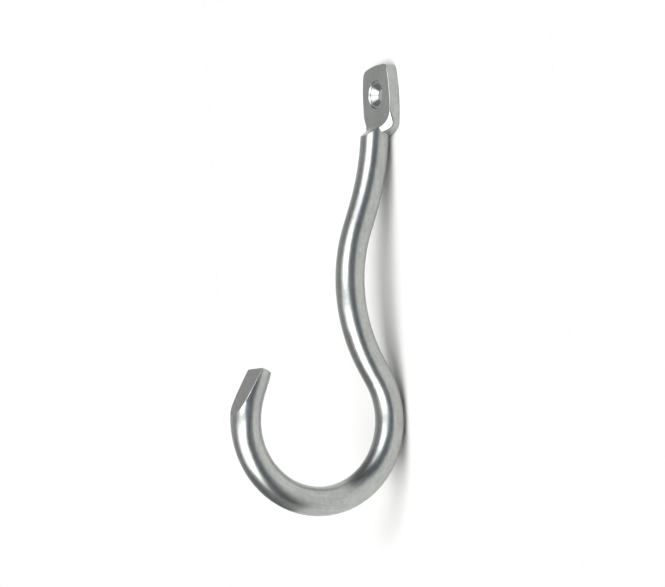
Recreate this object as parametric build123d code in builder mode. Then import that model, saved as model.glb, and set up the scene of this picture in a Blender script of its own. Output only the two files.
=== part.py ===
"""Coat hook made in one piece from round stainless bar.

The bar hangs from a flat lug with one countersunk screw hole.  It bows out
from the wall, comes back to it, and closes into an open loop whose tip is
pressed a little wider and flattened on its outer side.

Frame: millimetres.  The origin is on the screw hole's axis, in the plane of
the wall.  +Z is up, +Y goes into the wall and the hook stands out along -Y.
"""
from build123d import *

import os
from math import asin, atan2, cos, degrees, radians, sin, sqrt, tan

# Bar
BAR_DIAMETER = 10.0

# Loop and arm, all on the bar's centreline
LOOP_RADIUS = 27.3
LOOP_DROP = 112.3         # screw hole down to the loop's centre
LOOP_TURN = 201.0         # degrees from the wall, under the loop, to the tip
BOW_REACH = 17.8          # wall to the furthest point of the arm's bow
BOW_RISE = 44.5           # loop's centre up to that point
LOWER_RUN = 5.4           # straight length between loop and bow
UPPER_RUN = 7.0           # straight length between bow and neck
NECK_REACH = 4.4          # wall to the point where the neck turns upright
NECK_DROP = 4.3           # screw hole down to that point

# Tip
TIP_TURN = 35.0           # the last of the loop's turn, where the bar widens
TIP_STRAIGHT = 8.7
TIP_WIDTH = 11.5
TIP_SPREAD = 10.0         # length over which it widens
TIP_SECTIONS = 12         # that carry the bar through it
TIP_THICKNESS = 5.6       # left at the end, behind the flat
TIP_FLAT_LEAN = 10.0      # the flat leans in over the straight tip
TIP_RIDGE_ROUND = 0.4     # all round the flat
TIP_END_ROUND = 0.7       # round the bar's end

# Lug
LUG_THICKNESS = 3.7
LUG_TOP = 10.2            # screw hole up to the crown
LUG_TOP_WIDTH = 16.2
LUG_FOOT_WIDTH = 16.6
LUG_SIDE_RADIUS = 48.0
LUG_CROWN_RADIUS = 40.0
LUG_TOP_CORNER = 2.8
LUG_FOOT_CORNER = 3.5

# Seat: the cut that leaves the lug thin and ends the round bar in a step
SEAT_START = 8.3          # screw hole down to where the flat begins to curve
SEAT_RADIUS = 5.0
SEAT_SLOPE = 31.0         # fall of the step, down from level
SEAT_RIM_ROUND = 0.3      # all round the lug's front and over the step's lip

# Shoulders, where the bar spreads into the lug
SHOULDER_DROP = 4.5       # seat's start down to the shoulders' outer corners
SHOULDER_SLOPE = 23.0     # their fall towards the bar
SHOULDER_EDGE = 1.9       # wall to the cheek at an outer corner
CHEEK_TURN = 47.6         # a cheek faces this far round from the front
CHEEK_DIP = 17.3          # and this far down
CHEEK_ROUND = 0.8         # from a cheek to the walls beside and below it

# Screw hole, in a shallow recess with a bevelled edge
RECESS_DIAMETER = 10.0
RECESS_DEPTH = 0.4
RECESS_BEVEL = 45.0       # its edge's slope
SINK_DIAMETER = 8.0
SINK_ANGLE = 90.0
SCREW_DIAMETER = 4.3

bar_radius = BAR_DIAMETER / 2


def s_bend(shift, height, run):
    """The lean and the two radii added up, of an S bend between upright ends.

    Two arcs make the bend, with a straight run between them.  The lean is that
    run's, in degrees.  shift and height are from one upright end to the other.
    """
    lean = 2 * atan2(shift, height + run)
    return degrees(lean), (height - run * cos(lean)) / sin(lean)


# The arm's two S bends give the bow and the neck their radii
lower_lean, radii = s_bend(BOW_REACH - bar_radius, BOW_RISE, LOWER_RUN)
bow_radius = radii - LOOP_RADIUS
bow_drop = LOOP_DROP - BOW_RISE
upper_lean, radii = s_bend(BOW_REACH - NECK_REACH, bow_drop - NECK_DROP, UPPER_RUN)
neck_radius = radii - bow_radius

# Centres of the three arcs as (Y, Z) points
loop_centre = (-bar_radius - LOOP_RADIUS, -LOOP_DROP)
bow_centre = (bow_radius - BOW_REACH, -bow_drop)
neck_centre = (-NECK_REACH - neck_radius, -NECK_DROP)

# The bar runs up inside the lug as far as the seat, at this angle on the neck
bar_end = degrees(asin((NECK_DROP - SEAT_START) / neck_radius))

with BuildLine(Plane.YZ) as centreline:
    neck = CenterArc(neck_centre, neck_radius, bar_end, -bar_end - upper_lean)
    bow_start = 180 - upper_lean
    bow = CenterArc(bow_centre, bow_radius, bow_start, upper_lean + lower_lean)
    loop_end = TIP_TURN - LOOP_TURN
    loop = CenterArc(loop_centre, LOOP_RADIUS, lower_lean, loop_end - lower_lean)
    upper_run = Line(neck @ 1, bow @ 0)
    lower_run = Line(bow @ 1, loop @ 0)

with BuildLine(Plane.YZ) as tip_line:
    tip_bend = CenterArc(loop_centre, LOOP_RADIUS, loop_end, -TIP_TURN)
    tip_run = Line(tip_bend @ 1, tip_bend @ 1 + TIP_STRAIGHT * (tip_bend % 1))

# The flat on the tip, as a plane that faces away from it
tip_along = tip_run % 1
tip_outward = Vector(0, -tip_along.Z, tip_along.Y)
flat_lean = radians(TIP_FLAT_LEAN)
flat_facing = cos(flat_lean) * tip_outward + sin(flat_lean) * tip_along
flat_point = tip_run @ 1 + (TIP_THICKNESS - bar_radius) * tip_outward
tip_flat = Plane(origin=flat_point, x_dir=(1, 0, 0), z_dir=flat_facing)

# Lug outline, half of it
top_half = LUG_TOP_WIDTH / 2
foot_half = LUG_FOOT_WIDTH / 2
crown_fall = LUG_CROWN_RADIUS - sqrt(LUG_CROWN_RADIUS**2 - top_half**2)
shoulder_z = -SEAT_START - SHOULDER_DROP
shoulder_fall = foot_half * tan(radians(SHOULDER_SLOPE))

# A cheek is a plane through an outer corner of the shoulder
cheek_facing = (
    sin(radians(CHEEK_TURN)) * cos(radians(CHEEK_DIP)),
    -cos(radians(CHEEK_TURN)) * cos(radians(CHEEK_DIP)),
    -sin(radians(CHEEK_DIP)),
)
cheek_corner = (foot_half, -SHOULDER_EDGE, shoulder_z)
cheek = Plane(origin=cheek_corner, z_dir=cheek_facing)

# The seat from the side: all that is cut away in front of lug and step
with BuildSketch(Plane.YZ) as seat:
    with BuildLine():
        flat = Line((-LUG_THICKNESS, 2 * LUG_TOP), (-LUG_THICKNESS, -SEAT_START))
        seat_centre = (-LUG_THICKNESS - SEAT_RADIUS, -SEAT_START)
        foot = CenterArc(seat_centre, SEAT_RADIUS, 0, SEAT_SLOPE - 90)
        ramp = Line(foot @ 1, foot @ 1 + 2 * BAR_DIAMETER * (foot % 1))
        Polyline(ramp @ 1, ((ramp @ 1).X, 2 * LUG_TOP), flat @ 0)
    make_face()


def seat_rim(before, after):
    """The edges round the outside of the seat, which the cut has just made."""
    return new_edges(before, combined=after).filter_by(Axis.X, reverse=True)


with BuildPart() as bar:
    with BuildSketch(Plane(origin=neck @ 0, z_dir=neck % 0)):
        Circle(bar_radius)
    sweep(path=centreline.wire())

    # The tip goes on from it and widens smoothly at the same thickness
    tip_path = tip_line.wire()
    for step in range(TIP_SECTIONS + 1):
        along = step / TIP_SECTIONS
        share = min(along * tip_path.length / TIP_SPREAD, 1)
        widened = share**2 * (3 - 2 * share) * (TIP_WIDTH / 2 - bar_radius)
        place, heading = tip_path @ along, tip_path % along
        with BuildSketch(Plane(origin=place, x_dir=(1, 0, 0), z_dir=heading)):
            Ellipse(bar_radius + widened, bar_radius)
    sweep(path=tip_path, multisection=True)
    tip_end = bar.faces().filter_by(GeomType.PLANE).sort_by(Axis.Z)[0]
    fillet(tip_end.edges(), TIP_END_ROUND)

    # Behind the shoulders its back is level with the wall
    with BuildSketch(Plane.XZ):
        with Locations((0, shoulder_z)):
            Rectangle(LUG_FOOT_WIDTH, 2 * BAR_DIAMETER)
    extrude(amount=-bar_radius, mode=Mode.SUBTRACT)

    # Step at the top
    uncut = bar.part
    extrude(seat.sketch, amount=LUG_FOOT_WIDTH, both=True, mode=Mode.SUBTRACT)
    fillet(seat_rim(uncut, bar.part), SEAT_RIM_ROUND)

    # Flat on the tip
    with BuildSketch(tip_flat):
        Rectangle(2 * TIP_WIDTH, 6 * BAR_DIAMETER)
    extrude(amount=BAR_DIAMETER, mode=Mode.SUBTRACT)
    fillet(bar.edges(Select.LAST), TIP_RIDGE_ROUND)

with BuildPart() as lug:
    # Half a blank, whose front ends inside the bar
    with BuildSketch(Plane.XZ) as outline:
        with BuildLine():
            top = (top_half, LUG_TOP - crown_fall)
            crown = RadiusArc((0, LUG_TOP), top, LUG_CROWN_RADIUS)
            side = RadiusArc(top, (foot_half, shoulder_z), LUG_SIDE_RADIUS)
            slope = Line(side @ 1, (0, shoulder_z - shoulder_fall))
            Line(slope @ 1, crown @ 0)
        make_face()
        fillet(outline.vertices().sort_by(Axis.Y)[1], LUG_FOOT_CORNER)
        fillet(outline.vertices().sort_by(Axis.Y)[-2], LUG_TOP_CORNER)
    extrude(amount=bar_radius + LUG_THICKNESS / 2)

    # Cheek, rounded into its neighbours except the blank's front
    split(bisect_by=cheek, keep=Keep.BOTTOM)
    cheek_edges = lug.faces().filter_by(cheek)[0].edges()
    fillet(cheek_edges.sort_by(Axis.Y)[1:], CHEEK_ROUND)

    mirror(about=Plane.YZ)
    blank = lug.part
    extrude(seat.sketch, amount=LUG_FOOT_WIDTH, both=True, mode=Mode.SUBTRACT)
    fillet(seat_rim(blank, lug.part), SEAT_RIM_ROUND)

with BuildPart() as hook:
    add(bar.part)
    add(lug.part)

    # Screw hole, sunk from the floor of its recess
    with BuildSketch(Plane.XZ.offset(LUG_THICKNESS)):
        Circle(RECESS_DIAMETER / 2)
    extrude(amount=-RECESS_DEPTH, taper=RECESS_BEVEL, mode=Mode.SUBTRACT)
    with Locations(Plane.XZ.offset(LUG_THICKNESS - RECESS_DEPTH)):
        CounterSinkHole(
            SCREW_DIAMETER / 2, SINK_DIAMETER / 2, counter_sink_angle=SINK_ANGLE
        )

hook.part.label = "hook"

os.makedirs("parts", exist_ok=True)
export_step(hook.part, "parts/hook.step")
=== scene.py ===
"""Coat hook of satin stainless steel on a white wall, with its studio.

Everything is in metres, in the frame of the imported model: the origin is on
the screw hole's axis in the plane of the wall, +Z is up and +Y goes into the
wall.
"""

from math import pi, radians, tan

import bpy
from bpy.props import FloatProperty, FloatVectorProperty, PointerProperty
from mathutils import Matrix, Vector

bl_info = {
    "name": "Coat hook",
    "version": (1, 0, 0),
    "blender": (4, 5, 0),
    "location": "3D View > Sidebar > Coat Hook",
    "description": "Finishes a steel coat hook and sets up its studio",
    "category": "Object",
}

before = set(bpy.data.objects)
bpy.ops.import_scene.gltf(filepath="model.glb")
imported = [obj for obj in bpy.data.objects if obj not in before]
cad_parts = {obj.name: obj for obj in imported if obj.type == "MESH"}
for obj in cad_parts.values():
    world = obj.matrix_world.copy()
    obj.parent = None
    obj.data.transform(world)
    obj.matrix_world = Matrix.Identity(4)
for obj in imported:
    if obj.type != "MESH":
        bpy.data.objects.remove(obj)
bpy.context.view_layer.update()
HOOK_MIDDLE = Vector((0, -0.025, -0.07))


def facing(azimuth, elevation):
    """The unit vector away from the hook; azimuth 0 is straight out of the wall.

    Both angles are in degrees.  Azimuth grows towards +X, elevation upwards.
    """
    level = Matrix.Rotation(radians(azimuth), 3, "Z") @ Vector((0, -1, 0))
    side = level.cross(Vector((0, 0, 1)))
    return Matrix.Rotation(radians(elevation), 3, side) @ level


# ---------------------------------------------------------------- properties


class CoatHookSteel(bpy.types.PropertyGroup):
    """The steel's finish"""

    dark_steel: FloatVectorProperty(
        name="Steel, dark",
        description="Colour of the steel in the dark of its mottling",
        subtype="COLOR",
        size=3,
        min=0,
        max=1,
        default=(0.355, 0.367, 0.362),
    )
    light_steel: FloatVectorProperty(
        name="Steel, light",
        description="Colour of the steel in the light of its mottling",
        subtype="COLOR",
        size=3,
        min=0,
        max=1,
        default=(0.435, 0.443, 0.422),
    )
    flat_steel: FloatVectorProperty(
        name="Steel, tip's flat",
        description="Colour of the brushed steel on the tip's flat",
        subtype="COLOR",
        size=3,
        min=0,
        max=1,
        default=(0.31, 0.322, 0.312),
    )
    smoothest: FloatProperty(
        name="Roughness, least",
        description="Roughness where the satin finish is smoothest",
        subtype="FACTOR",
        min=0,
        max=1,
        default=0.28,
    )
    roughest: FloatProperty(
        name="Roughness, most",
        description="Roughness where the satin finish is dullest",
        subtype="FACTOR",
        min=0,
        max=1,
        default=0.31,
    )
    grain: FloatProperty(
        name="Grain",
        description="Width of the drawn lines along the bar",
        unit="LENGTH",
        min=0.00005,
        default=0.0005,
    )
    mottling: FloatProperty(
        name="Mottling",
        description="Size of the mottled spots",
        unit="LENGTH",
        min=0.0001,
        default=0.0013,
    )
    clouds: FloatProperty(
        name="Clouds",
        description="Size of the slow changes of tone",
        unit="LENGTH",
        min=0.001,
        default=0.009,
    )
    brushing: FloatProperty(
        name="Brushing",
        description="Width of the brushed lines on the tip's flat",
        unit="LENGTH",
        min=0.0001,
        default=0.0009,
    )


class CoatHookStudio(bpy.types.PropertyGroup):
    """The wall board, the floor, the lights and the room"""

    wall_colour: FloatVectorProperty(
        name="Wall",
        description="Colour of the wall board and the floor",
        subtype="COLOR",
        size=3,
        min=0,
        max=1,
        default=(0.775, 0.768, 0.742),
    )
    board_left: FloatProperty(
        name="Board, left",
        description="Screw hole to the left edge of the white board",
        unit="LENGTH",
        min=0.1,
        default=0.15,
    )
    board_right: FloatProperty(
        name="Board, right",
        description="Screw hole to the right edge of the white board",
        unit="LENGTH",
        min=0.1,
        default=0.10,
    )
    board_height: FloatProperty(
        name="Board height",
        description="Height of the white board that the hook hangs on",
        unit="LENGTH",
        min=0.2,
        default=0.8,
    )
    floor_drop: FloatProperty(
        name="Floor drop",
        description="Screw hole down to the floor",
        unit="LENGTH",
        min=0.2,
        default=3.0,
    )
    floor_size: FloatProperty(
        name="Floor size",
        description="Width and depth of the floor",
        unit="LENGTH",
        min=0.5,
        default=3.2,
    )
    key_distance: FloatProperty(
        name="Key distance",
        description="Distance from the hook to the soft boxes",
        unit="LENGTH",
        min=0.2,
        default=1.2,
    )


# ---------------------------------------------------------------- node helpers


# A mix node's two inputs and its output, for each kind of value
MIX_SOCKETS = {"FLOAT": (2, 3, 0), "VECTOR": (4, 5, 1), "RGBA": (6, 7, 2)}


def fill(tree, socket, source):
    """Link a socket to another one or set its value; None leaves it alone."""
    if isinstance(source, bpy.types.NodeSocket):
        tree.links.new(source, socket)
    elif source is not None:
        socket.default_value = source


def add_node(tree, kind, *sources, **settings):
    """A new node of one kind, with its inputs linked or set in order."""
    node = tree.nodes.new(kind)
    for name, value in settings.items():
        setattr(node, name, value)
    for socket, source in zip(node.inputs, sources):
        fill(tree, socket, source)
    return node


def maths(tree, operation, a, b=None):
    """One step of arithmetic."""
    return add_node(tree, "ShaderNodeMath", a, b, operation=operation).outputs[0]


def weighed(tree, *parts):
    """The sum of some values, each of them times its share."""
    shares = [maths(tree, "MULTIPLY", value, share) for value, share in parts]
    total = shares[0]
    for share in shares[1:]:
        total = maths(tree, "ADD", total, share)
    return total


def mix(tree, kind, factor, first, second, blend="MIX"):
    """first where factor is 0 and second where it is 1."""
    node = add_node(tree, "ShaderNodeMix", factor, data_type=kind, blend_type=blend)
    start, end, result = MIX_SOCKETS[kind]
    fill(tree, node.inputs[start], first)
    fill(tree, node.inputs[end], second)
    return node.outputs[result]


def noise(tree, place, size, detail):
    """Soft noise whose spots are about size across."""
    node = tree.nodes.new("ShaderNodeTexNoise")
    fill(tree, node.inputs["Vector"], place)
    fill(tree, node.inputs["Scale"], 1 / size)
    fill(tree, node.inputs["Detail"], detail)
    return node.outputs["Fac"]


def between(tree, value, span, ends=(0, 1), curve="SMOOTHSTEP"):
    """Carry value from its span to two ends, which it keeps outside the span."""
    node = add_node(tree, "ShaderNodeMapRange", value, interpolation_type=curve)
    names = ("From Min", "From Max", "To Min", "To Max")
    for name, number in zip(names, (*span, *ends)):
        fill(tree, node.inputs[name], number)
    return node.outputs["Result"]


# ---------------------------------------------------------------- the steel


# The loop's centreline
LOOP_RADIUS = 0.0273
LOOP_CENTRE_Y = -0.0323
LOOP_CENTRE_Z = -0.1123

# The drawn lines run round the loop below the first height and straight up above the
# second.  They are noise with the bar's length drawn short, by this factor.
GRAIN_TURNS = (-0.100, -0.085)
GRAIN_STRETCH = 0.07

# The tip's flat faces this way, and nothing else beyond this Y does
TIP_FACING = (0, -0.858, 0.515)
TIP_FACING_MATCH = (0.985, 0.995)        # cosine of the angle to it, from off to on
TIP_FRONT = -0.045

# The brushing runs slantwise over the flat
BRUSHING_TURN = (radians(28), radians(35), 0)
BRUSHING_STRETCH = (1, 1, 0.1)
BRUSHING_SPAN = (0.38, 0.62)
BRUSHING_STRENGTH = (1, 0.25)            # of the flat's own colour

# Shares of grain, spots and clouds in the tone, and where it is darkest and lightest
TONE_SHARES = (0.35, 0.35, 0.3)
TONE_SPAN = (0.40, 0.60)

# Shares of grain and spots in roughness and relief, and where the steel is smoothest
# and dullest
RELIEF_SHARES = (0.5, 0.5)
RELIEF_SPAN = (0.3, 0.7)
BUMP_STRENGTH = 0.06
BUMP_DEPTH = 0.00002

# Levels of detail in the noise
FINE_DETAIL = 2
PLAIN_DETAIL = 1


def along_the_bar(tree, place):
    """Coordinates with the bar's length drawn short, where noise becomes long lines."""
    x, y, z = add_node(tree, "ShaderNodeSeparateXYZ", place).outputs
    height = maths(tree, "MULTIPLY", z, GRAIN_STRETCH)
    upright = add_node(tree, "ShaderNodeCombineXYZ", x, y, height)

    out = maths(tree, "SUBTRACT", y, LOOP_CENTRE_Y)
    down = maths(tree, "SUBTRACT", LOOP_CENTRE_Z, z)
    squares = [maths(tree, "MULTIPLY", side, side) for side in (out, down)]
    radius = maths(tree, "SQRT", maths(tree, "ADD", *squares))
    turn = maths(tree, "ARCTAN2", out, down)
    run = maths(tree, "MULTIPLY", turn, LOOP_RADIUS * GRAIN_STRETCH)
    round_loop = add_node(tree, "ShaderNodeCombineXYZ", x, radius, run)

    above = between(tree, z, GRAIN_TURNS)
    return mix(tree, "VECTOR", above, round_loop.outputs[0], upright.outputs[0])


def on_the_flat(tree, coords):
    """1 on the tip's flat and 0 elsewhere."""
    match = add_node(
        tree,
        "ShaderNodeVectorMath",
        coords.outputs["Normal"],
        TIP_FACING,
        operation="DOT_PRODUCT",
    )
    place = add_node(tree, "ShaderNodeSeparateXYZ", coords.outputs["Object"])
    return maths(
        tree,
        "MULTIPLY",
        between(tree, match.outputs["Value"], TIP_FACING_MATCH),
        maths(tree, "LESS_THAN", place.outputs["Y"], TIP_FRONT),
    )


def satin_steel(look):
    """Satin steel, with mottling and lines drawn along the bar.

    The tip's flat is brushed instead, and a little darker.
    """
    material = bpy.data.materials.new("satin_steel")
    material.use_nodes = True
    tree = material.node_tree
    coords = tree.nodes.new("ShaderNodeTexCoord")
    place = coords.outputs["Object"]
    flat = on_the_flat(tree, coords)

    lines = noise(tree, along_the_bar(tree, place), look.grain, PLAIN_DETAIL)
    spots = noise(tree, place, look.mottling, FINE_DETAIL)
    clouds = noise(tree, place, look.clouds, FINE_DETAIL)
    slanted = add_node(
        tree, "ShaderNodeMapping", place, None, BRUSHING_TURN, BRUSHING_STRETCH
    )
    brushing = noise(tree, slanted.outputs[0], look.brushing, PLAIN_DETAIL)
    grain = mix(tree, "FLOAT", flat, lines, brushing)

    tone = weighed(tree, *zip((grain, spots, clouds), TONE_SHARES))
    steel = mix(
        tree,
        "RGBA",
        between(tree, tone, TONE_SPAN),
        (*look.dark_steel, 1),
        (*look.light_steel, 1),
    )
    strength = between(tree, brushing, BRUSHING_SPAN, BRUSHING_STRENGTH)
    own_colour = maths(tree, "MULTIPLY", flat, strength)
    colour = mix(tree, "RGBA", own_colour, steel, (*look.flat_steel, 1))

    relief = weighed(tree, *zip((grain, spots), RELIEF_SHARES))
    roughness = between(tree, relief, RELIEF_SPAN, (look.smoothest, look.roughest))
    bump = tree.nodes.new("ShaderNodeBump")
    fill(tree, bump.inputs["Strength"], BUMP_STRENGTH)
    fill(tree, bump.inputs["Distance"], BUMP_DEPTH)
    fill(tree, bump.inputs["Height"], relief)

    shader = tree.nodes["Principled BSDF"]
    fill(tree, shader.inputs["Base Color"], colour)
    fill(tree, shader.inputs["Roughness"], roughness)
    fill(tree, shader.inputs["Normal"], bump.outputs["Normal"])
    fill(tree, shader.inputs["Metallic"], 1)
    return material


class COATHOOK_OT_finish_hook(bpy.types.Operator):
    """Give the hook its satin steel"""

    bl_idname = "coathook.finish_hook"
    bl_label = "Hook"

    def execute(self, context):
        look = context.scene.coathook_steel
        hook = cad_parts["hook"]
        hook.material_slots[0].link = "OBJECT"
        hook.material_slots[0].material = satin_steel(look)
        return {"FINISHED"}


# ---------------------------------------------------------------- the studio


# The board hangs this far behind the wall's plane, clear of the lug's back
BOARD_GAP = 0.0003
FLOOR_MIDDLE_Y = -1.2
FLOOR_ROUGHNESS = 0.9


def wall_material(colour):
    """White paint that is seen from the front alone.

    It is clear from behind, so that it hides nothing, and clear to what lies right
    against it, so that the back of the lug is lit.
    """
    material = bpy.data.materials.new("wall")
    material.use_nodes = True
    tree = material.node_tree
    tree.nodes.clear()
    path = tree.nodes.new("ShaderNodeLightPath")
    geometry = tree.nodes.new("ShaderNodeNewGeometry")
    near = maths(tree, "LESS_THAN", path.outputs["Ray Length"], 2 * BOARD_GAP)
    gone = maths(tree, "MAXIMUM", near, geometry.outputs["Backfacing"])
    paint = add_node(tree, "ShaderNodeBsdfDiffuse", (*colour, 1))
    clear = tree.nodes.new("ShaderNodeBsdfTransparent")
    seen = add_node(
        tree, "ShaderNodeMixShader", gone, paint.outputs[0], clear.outputs[0]
    )
    add_node(tree, "ShaderNodeOutputMaterial", seen.outputs[0])
    return material


def floor_material(colour):
    """The floor's pale paint."""
    material = bpy.data.materials.new("floor")
    material.use_nodes = True
    shader = material.node_tree.nodes["Principled BSDF"]
    shader.inputs["Base Color"].default_value = (*colour, 1)
    shader.inputs["Roughness"].default_value = FLOOR_ROUGHNESS
    return material


def panel(name, width, height, place, look_along, material):
    """A flat rectangle that faces back along look_along."""
    mesh = bpy.data.meshes.new(name)
    x, y = width / 2, height / 2
    corners = [(-x, -y, 0), (x, -y, 0), (x, y, 0), (-x, y, 0)]
    mesh.from_pydata(corners, [], [(0, 1, 2, 3)])
    mesh.materials.append(material)
    thing = bpy.data.objects.new(name, mesh)
    thing.location = place
    thing.rotation_mode = "QUATERNION"
    thing.rotation_quaternion = (-Vector(look_along)).to_track_quat("Z", "Y")
    bpy.context.scene.collection.objects.link(thing)


# Each soft box's brightness, then its left, right, foot and head in degrees round from
# the front of the wall and up from level.  The cores are the boxes' hot middles.
SOFT_BOXES = {
    "upper_box": (1.15, -5, 46, 4.5, 45),
    "top_box": (2.4, 9, 33, 45, 57),
    "lower_box": (1.15, -15, 58, -45, -4.5),
    "foot_box": (1.9, 20, 44, -57, -45),
    "upper_flank": (1.0, 2, 13, 6, 40),
    "lower_flank": (1.3, -6, 13, -42, -6),
    "upper_core": (4.8, 13, 40, 9.5, 33),
    "lower_core": (4.8, 13, 48, -44, -9.5),
}


def soft_box(name, reach, brightness, left, right, foot, head):
    """A soft box that fills the given angles as the hook sees it."""
    low, high = reach * tan(radians(foot)), reach * tan(radians(head))
    data = bpy.data.lights.new(name, "AREA")
    data.shape = "RECTANGLE"
    data.size = 2 * reach * tan(radians((right - left) / 2))
    data.size_y = high - low
    data.energy = brightness * data.size * data.size_y * pi
    light = bpy.data.objects.new(name, data)
    away = facing((left + right) / 2, 0)
    light.location = HOOK_MIDDLE + away * reach + Vector((0, 0, (low + high) / 2))
    light.rotation_mode = "QUATERNION"
    light.rotation_quaternion = away.to_track_quat("Z", "Y")
    bpy.context.scene.collection.objects.link(light)


def grey(value):
    """A grey of one brightness."""
    return (value, value, value)


COOL = (0.19, 0.23, 0.26)
BETWEEN_BOXES = (0.48, 0.53, 0.59)

# The room's brightness round from the front of the wall, in degrees: pale on the hook's
# left, cool and dim on its right
ROOM_SIDES = (
    (-180, grey(0.60)),
    (-57, grey(0.67)),
    (-47, grey(0.44)),
    (-30, grey(0.38)),
    (0, BETWEEN_BOXES),
    (40, BETWEEN_BOXES),
    (56, COOL),
    (98, COOL),
    (125, grey(0.55)),
    (180, grey(0.60)),
)

# How much of that is left, from straight down, -1, to straight up, 1
ROOM_LEVELS = (
    (-1.0, grey(0.15)),
    (-0.8, grey(0.25)),
    (-0.4, grey(0.75)),
    (0.0, grey(1.0)),
    (0.35, grey(1.0)),
    (0.75, grey(0.45)),
    (1.0, grey(0.20)),
)

# Where the room turns white to reflections that look behind the wall, as a share of
# straight into it
WHITE_BEHIND = (0.15, 0.42)
WHITE = (1, 1, 1, 1)


def ramp(tree, value, stops):
    """A colour ramp over value, with stops as value and colour."""
    low, high = stops[0][0], stops[-1][0]
    node = tree.nodes.new("ShaderNodeValToRGB")
    fill(tree, node.inputs["Fac"], between(tree, value, (low, high), curve="LINEAR"))
    elements = node.color_ramp.elements
    while len(elements) < len(stops):
        elements.new(0.5)
    for element, (at, colour) in zip(elements, stops):
        element.position = (at - low) / (high - low)
        element.color = (*colour, 1)
    return node.outputs["Color"]


def room_light():
    """The room that the steel mirrors, with white to the camera and behind the wall."""
    world = bpy.data.worlds.new("room")
    bpy.context.scene.world = world
    world.use_nodes = True
    tree = world.node_tree
    tree.nodes.clear()
    coords = tree.nodes.new("ShaderNodeTexCoord")
    axes = add_node(tree, "ShaderNodeSeparateXYZ", coords.outputs["Generated"])
    x, y, z = axes.outputs
    turn = maths(tree, "ARCTAN2", x, maths(tree, "MULTIPLY", y, -1))
    sides = ramp(tree, maths(tree, "DEGREES", turn), ROOM_SIDES)
    levels = ramp(tree, z, ROOM_LEVELS)
    room = mix(tree, "RGBA", 1, sides, levels, blend="MULTIPLY")

    path = tree.nodes.new("ShaderNodeLightPath").outputs
    mirrored = maths(
        tree, "MAXIMUM", path["Is Glossy Ray"], path["Is Transmission Ray"]
    )
    behind = maths(tree, "MULTIPLY", mirrored, between(tree, y, WHITE_BEHIND))
    white = maths(tree, "MAXIMUM", path["Is Camera Ray"], behind)
    back = add_node(
        tree, "ShaderNodeBackground", mix(tree, "RGBA", white, room, WHITE)
    )
    add_node(tree, "ShaderNodeOutputWorld", back.outputs[0])


# The camera, from the point that it looks at; angles in degrees, lens in millimetres
CAMERA_TARGET = Vector((0, -0.024764, -0.06955))
CAMERA_DISTANCE = 0.6
CAMERA_AZIMUTH = 61.96
CAMERA_ELEVATION = -4.21
CAMERA_ROLL = -2.91
CAMERA_LENS = 95.236
SENSOR_WIDTH = 36


def camera():
    """The camera, a little below the hook's middle and well round to its right."""
    data = bpy.data.cameras.new("camera")
    data.lens = CAMERA_LENS
    data.sensor_width = SENSOR_WIDTH
    eye = bpy.data.objects.new("camera", data)
    back = facing(CAMERA_AZIMUTH, CAMERA_ELEVATION)
    right = Vector((0, 0, 1)).cross(back).normalized()
    up = back.cross(right)
    level = Matrix((right, up, back)).transposed()
    rotation = level @ Matrix.Rotation(radians(CAMERA_ROLL), 3, "Z")
    place = Matrix.Translation(CAMERA_TARGET + back * CAMERA_DISTANCE)
    eye.matrix_world = place @ rotation.to_4x4()
    bpy.context.scene.collection.objects.link(eye)
    bpy.context.scene.camera = eye


class COATHOOK_OT_set_studio(bpy.types.Operator):
    """Set up the wall, the floor, the lights and the camera"""

    bl_idname = "coathook.set_studio"
    bl_label = "Studio"

    def execute(self, context):
        studio = context.scene.coathook_studio
        left, right = studio.board_left, studio.board_right
        wall = wall_material(studio.wall_colour)
        middle = ((right - left) / 2, BOARD_GAP, HOOK_MIDDLE.z)
        panel("wall", left + right, studio.board_height, middle, (0, 1, 0), wall)
        floor = floor_material(studio.wall_colour)
        size = studio.floor_size
        middle = (0, FLOOR_MIDDLE_Y, -studio.floor_drop)
        panel("floor", size, size, middle, (0, 0, -1), floor)
        for name, box in SOFT_BOXES.items():
            soft_box(name, studio.key_distance, *box)
        room_light()
        camera()
        context.scene.view_settings.view_transform = "Standard"
        return {"FINISHED"}


class COATHOOK_PT_pieces(bpy.types.Panel):
    """The sidebar's list of the hook and its studio, with their settings"""

    bl_idname = "COATHOOK_PT_pieces"
    bl_label = "Coat Hook"
    bl_space_type = "VIEW_3D"
    bl_region_type = "UI"
    bl_category = "Coat Hook"

    def draw(self, context):
        layout = self.layout
        for operator, group in (
            (COATHOOK_OT_finish_hook, "coathook_steel"),
            (COATHOOK_OT_set_studio, "coathook_studio"),
        ):
            layout.operator(operator.bl_idname)
            settings = getattr(context.scene, group)
            for name in settings.__annotations__:
                layout.prop(settings, name)


classes = (
    CoatHookSteel,
    CoatHookStudio,
    COATHOOK_OT_finish_hook,
    COATHOOK_OT_set_studio,
    COATHOOK_PT_pieces,
)


def register():
    for cls in classes:
        bpy.utils.register_class(cls)
    bpy.types.Scene.coathook_steel = PointerProperty(type=CoatHookSteel)
    bpy.types.Scene.coathook_studio = PointerProperty(type=CoatHookStudio)


def unregister():
    del bpy.types.Scene.coathook_studio
    del bpy.types.Scene.coathook_steel
    for cls in reversed(classes):
        bpy.utils.unregister_class(cls)


def main():
    register()
    bpy.ops.coathook.finish_hook()
    bpy.ops.coathook.set_studio()
    bpy.context.view_layer.update()


if __name__ == "__main__":
    main()
